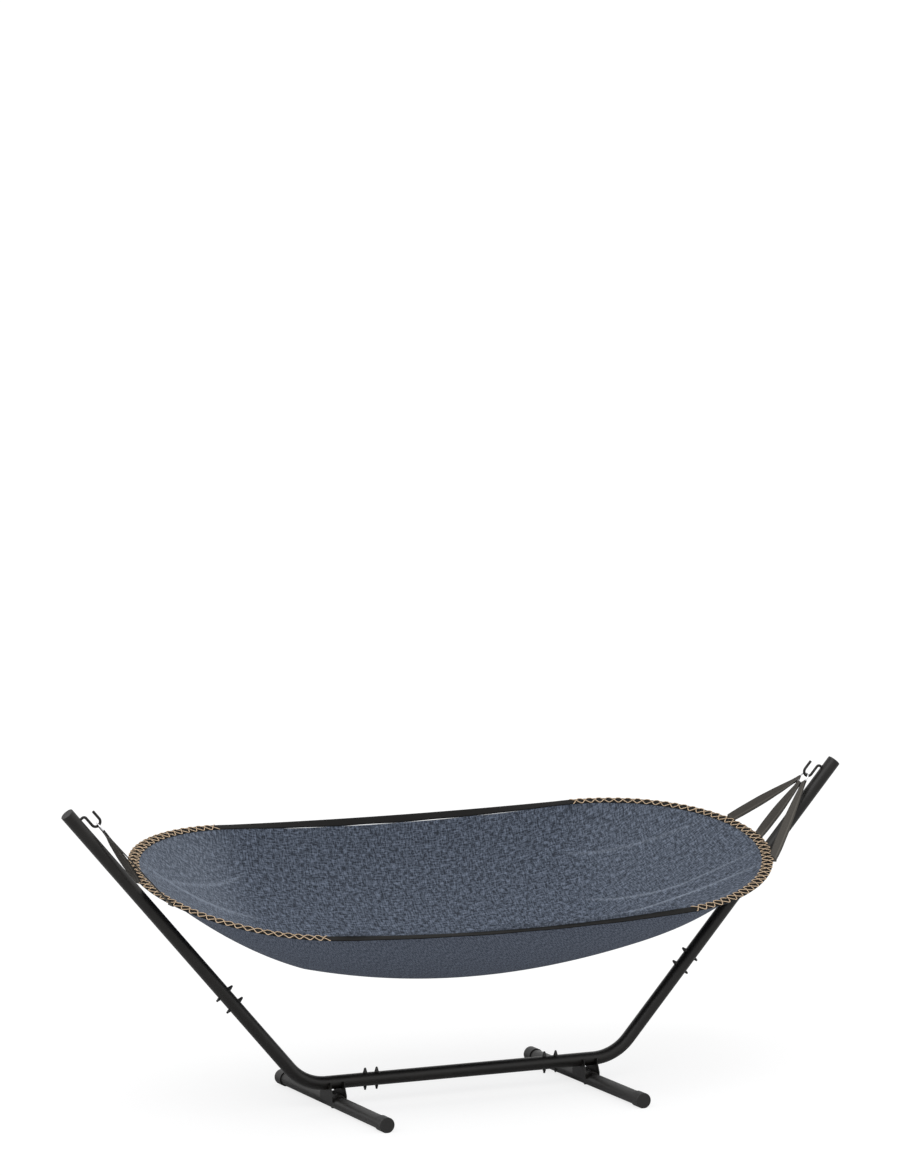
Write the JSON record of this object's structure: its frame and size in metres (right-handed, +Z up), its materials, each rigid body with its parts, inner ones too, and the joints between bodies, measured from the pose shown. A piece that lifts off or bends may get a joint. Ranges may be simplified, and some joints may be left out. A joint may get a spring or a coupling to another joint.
{
  "type": "hammock with stand",
  "caption": "Oval fabric hammock with laced round ends, hung by webbing straps and rings from the hooks of a boat-shaped bolted steel tube stand.",
  "frame": {"origin": "on the floor, at the middle of the stand", "axes": "+X along the hammock, +Y across it towards the raised edge of the swung bed, +Z up"},
  "size_m": [3.1184, 1.0956, 1.1618],
  "materials": {
    "black_paint": "satin black powder coat",
    "black_plastic": "black moulded plastic",
    "black_bolts": "black zinc",
    "polished_ring": "polished",
    "bed_fabric": "slate blue slub weave",
    "belt_webbing": "black woven webbing",
    "strap_webbing": "charcoal woven webbing",
    "lacing_cord": "tan laid cord"
  },
  "bodies": {
    "stand": {"centre_tube": "black_paint", "left_bend_tube": "black_paint", "left_post_tube": "black_paint", "left_post_cap": "black_plastic", "left_hook": "black_paint", "left_foot_tube": "black_paint", "left_saddle": "black_paint", "right_bend_tube": "black_paint", "right_post_tube": "black_paint", "right_post_cap": "black_plastic", "right_hook": "black_paint", "right_foot_tube": "black_paint", "right_saddle": "black_paint", "foot_end_caps": "black_plastic", "foot_bolts": "black_bolts", "foot_nuts": "black_bolts", "base_joint_bolts": "black_bolts", "base_bolt_covers": "black_plastic", "base_cap_nuts": "black_bolts", "post_joint_bolts": "black_bolts", "post_bolt_covers": "black_plastic", "post_cap_nuts": "black_bolts"},
    "hammock": {"bed_cloth": "bed_fabric", "edge_belt": "belt_webbing", "left_lacing": "lacing_cord", "left_ring": "polished_ring", "left_far_strap": "strap_webbing", "left_middle_strap": "strap_webbing", "left_near_strap": "strap_webbing", "right_lacing": "lacing_cord", "right_ring": "polished_ring", "right_far_strap": "strap_webbing", "right_middle_strap": "strap_webbing", "right_near_strap": "strap_webbing"}
  },
  "joints": [
    {"name": "hammock_swing", "type": "hinge", "parent": "stand", "child": "hammock", "pos_m": [0, 0, 1.09797], "axis": [1, 0, 0], "range_deg": [-38.5, 11]}
  ]
}
